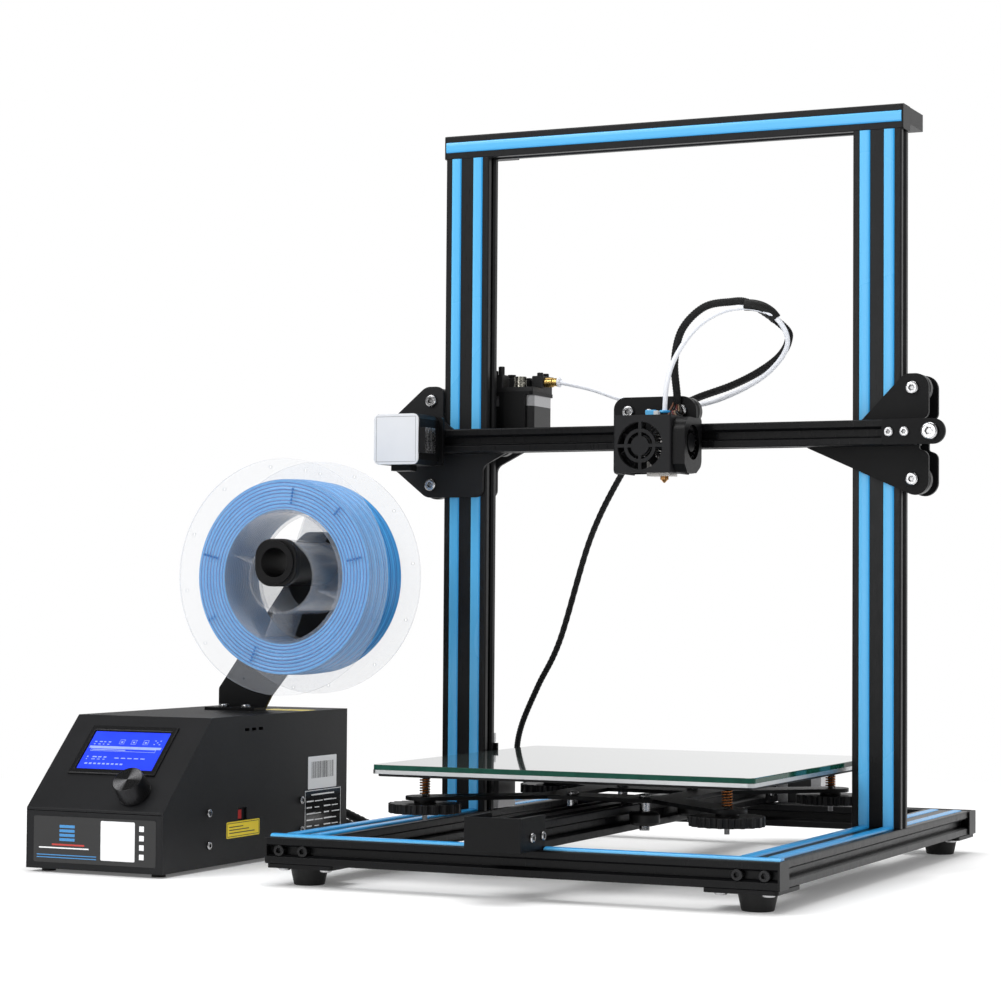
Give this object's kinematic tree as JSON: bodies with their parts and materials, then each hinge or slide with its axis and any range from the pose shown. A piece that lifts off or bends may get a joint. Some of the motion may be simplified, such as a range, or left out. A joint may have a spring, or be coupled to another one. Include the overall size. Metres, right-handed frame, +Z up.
{
  "type": "desktop filament printer",
  "caption": "Open-frame desktop filament printer with sliding bed, lifting gantry, travelling print head, and a separate control box carrying a filament spool.",
  "frame": {"origin": "middle of the whole footprint, on the table", "axes": "+X to the right along the long side of the footprint, +Y to the back, +Z up; the printer faces -Y"},
  "size_m": [0.6648, 0.5981, 0.612],
  "materials": {
    "aluminium": "satin",
    "belt": "toothed",
    "black_plastic": "moulded",
    "black_powder": "textured black powder coat",
    "black_rubber": "matte",
    "black_steel": "black oxide",
    "blue_plastic": "sky blue push-in strip",
    "bright_screw": "zinc plated",
    "cast_black": "cast",
    "charcoal_powder": "textured charcoal powder coat",
    "clear_reel": "clear moulding",
    "clear_tube": "translucent white",
    "dark_glass": "coated glass",
    "display": "lit screen",
    "electronics": "bare sheet, boards and fan",
    "gear_steel": "machined",
    "hotend": "bare",
    "knob_black": "moulded",
    "matt_anodised": "satin black anodised",
    "motor": "black laminations, bright end caps",
    "spring": "copper coloured",
    "spun_metal": "spun top",
    "steel": "turned",
    "wheel": "turned"
  },
  "bodies": {
    "frame": {"cross_bars": "matt_anodised", "base_side_rails": "matt_anodised", "uprights": "matt_anodised", "y_rail": "matt_anodised", "slot_covers": "blue_plastic", "bar_end_caps": "black_plastic", "foot_plates": "black_powder", "rubber_feet": "black_rubber", "top_corner_blocks": "black_plastic", "frame_brackets": "black_powder", "frame_motors": "motor", "y_belt": "belt", "frame_bolts": "black_steel", "button_screws": "bright_screw", "box_cover": "charcoal_powder", "box_chassis": "charcoal_powder", "box_electronics": "electronics", "display": "display", "spool_bracket": "black_powder", "spool_tube": "black_plastic"},
    "bed": {"carriage_plate": "black_powder", "bed_wheels": "wheel", "bed_hardware": "bright_screw", "bed_springs": "spring", "heated_bed": "aluminium", "glass_plate": "dark_glass"},
    "x_gantry": {"x_beam": "matt_anodised", "left_gantry_plates": "black_powder", "right_gantry_plates": "black_powder", "gantry_wheels": "wheel", "gantry_hardware": "black_steel", "gantry_brackets": "black_powder", "gantry_motors": "motor", "x_belt": "belt", "x_limit_switch": "black_plastic", "extruder_body": "cast_black", "bowden_tube": "clear_tube"},
    "print_head": {"head_plate": "black_powder", "head_wheels": "wheel", "head_bolts": "black_steel", "fan_cover": "charcoal_powder", "fan_frames": "black_plastic", "hotend": "hotend"},
    "y_pulley": {"y_pulley": "gear_steel"},
    "y_idler": {"y_idler": "gear_steel"},
    "x_pulley": {"x_pulley": "gear_steel"},
    "x_idler": {"x_idler": "gear_steel"},
    "leadscrew": {"leadscrew": "steel"},
    "extruder_gear": {"extruder_gear": "gear_steel"},
    "extruder_lever": {"extruder_lever": "cast_black"},
    "hotend_fan": {"hotend_fan": "black_plastic"},
    "blower_rotor": {"blower_rotor": "black_plastic"},
    "power_rocker": {"power_rocker": "black_plastic"},
    "encoder_shaft": {"encoder_shaft": "steel"},
    "encoder_knob": {"encoder_knob": "spun_metal"},
    "spool": {"spool": "clear_reel"},
    "level_knob_front_left": {"level_knob_front_left": "knob_black"},
    "level_knob_front_right": {"level_knob_front_right": "knob_black"},
    "level_knob_rear_left": {"level_knob_rear_left": "knob_black"},
    "level_knob_rear_right": {"level_knob_rear_right": "knob_black"}
  },
  "joints": [
    {"name": "bed_slide", "type": "slide", "parent": "frame", "child": "bed", "axis": [0, 1, 0], "range_m": [-0.13, 0.17]},
    {"name": "z_lift", "type": "slide", "parent": "frame", "child": "x_gantry", "axis": [0, 0, 1], "range_m": [-0.2215, 0.175]},
    {"name": "x_slide", "type": "slide", "parent": "x_gantry", "child": "print_head", "axis": [1, 0, 0], "range_m": [-0.15, 0.138], "deforming": ["bowden_tube"]},
    {"name": "y_pulley_spin", "type": "hinge", "parent": "frame", "child": "y_pulley", "pos_m": [0.099, 0.278, 0.0467], "axis": [1, 0, 0], "range_deg": [-1620, 1620]},
    {"name": "y_idler_spin", "type": "hinge", "parent": "frame", "child": "y_idler", "pos_m": [0.099, -0.281, 0.0467], "axis": [1, 0, 0], "range_deg": [-1620, 1620]},
    {"name": "x_pulley_spin", "type": "hinge", "parent": "x_gantry", "child": "x_pulley", "pos_m": [-0.1255, 0.016, 0.3486], "axis": [0, 1, 0], "range_deg": [-1440, 1440]},
    {"name": "x_idler_spin", "type": "hinge", "parent": "x_gantry", "child": "x_idler", "pos_m": [0.321, 0.016, 0.3486], "axis": [0, 1, 0], "range_deg": [-1440, 1440]},
    {"name": "leadscrew_turn", "type": "hinge", "parent": "frame", "child": "leadscrew", "pos_m": [-0.091, 0.0716, 0.3], "axis": [0, 0, 1], "range_deg": [-10800, 10800]},
    {"name": "extruder_gear_spin", "type": "hinge", "parent": "x_gantry", "child": "extruder_gear", "pos_m": [-0.0645, 0.082, 0.403], "axis": [0, 0, 1], "continuous": true},
    {"name": "extruder_lever_pivot", "type": "hinge", "parent": "x_gantry", "child": "extruder_lever", "pos_m": [-0.0795, 0.097, 0.403], "axis": [0, 0, 1], "range_deg": [-4, 14]},
    {"name": "hotend_fan_spin", "type": "hinge", "parent": "print_head", "child": "hotend_fan", "pos_m": [0.0958, -0.0337, 0.3388], "axis": [0, 1, 0], "continuous": true},
    {"name": "blower_spin", "type": "hinge", "parent": "print_head", "child": "blower_rotor", "pos_m": [0.1278, -0.0175, 0.342], "axis": [1, 0, 0], "continuous": true},
    {"name": "spool_spin", "type": "hinge", "parent": "frame", "child": "spool", "pos_m": [-0.193, -0.07545, 0.2327], "axis": [0, 1, 0], "continuous": true},
    {"name": "encoder_push", "type": "slide", "parent": "frame", "child": "encoder_shaft", "axis": [0, 0.7021, -0.7121], "range_m": [0, 0.0005]},
    {"name": "encoder_turn", "type": "hinge", "parent": "encoder_shaft", "child": "encoder_knob", "pos_m": [-0.238, -0.25118, 0.06264], "axis": [0, -0.7021, 0.7121], "continuous": true},
    {"name": "rocker_tilt", "type": "hinge", "parent": "frame", "child": "power_rocker", "pos_m": [-0.2815, 0.03, 0.034], "axis": [1, 0, 0], "range_deg": [-7, 7]},
    {"name": "level_knob_rear_left_turn", "type": "hinge", "parent": "bed", "child": "level_knob_rear_left", "pos_m": [-0.035, 0.0914, 0.055], "axis": [0, 0, 1], "range_deg": [-720, 720]},
    {"name": "level_knob_front_left_turn", "type": "hinge", "parent": "bed", "child": "level_knob_front_left", "pos_m": [-0.035, -0.1566, 0.055], "axis": [0, 0, 1], "range_deg": [-720, 720]},
    {"name": "level_knob_rear_right_turn", "type": "hinge", "parent": "bed", "child": "level_knob_rear_right", "pos_m": [0.213, 0.0914, 0.055], "axis": [0, 0, 1], "range_deg": [-720, 720]},
    {"name": "level_knob_front_right_turn", "type": "hinge", "parent": "bed", "child": "level_knob_front_right", "pos_m": [0.213, -0.1566, 0.055], "axis": [0, 0, 1], "range_deg": [-720, 720]}
  ],
  "couplings": [
    {"joint": "y_pulley_spin", "follows": "bed_slide", "rad_per_m": -157.08},
    {"joint": "y_idler_spin", "follows": "bed_slide", "rad_per_m": -157.08},
    {"joint": "x_pulley_spin", "follows": "x_slide", "rad_per_m": 157.08},
    {"joint": "x_idler_spin", "follows": "x_slide", "rad_per_m": 157.08},
    {"joint": "leadscrew_turn", "follows": "z_lift", "rad_per_m": -785.4}
  ]
}
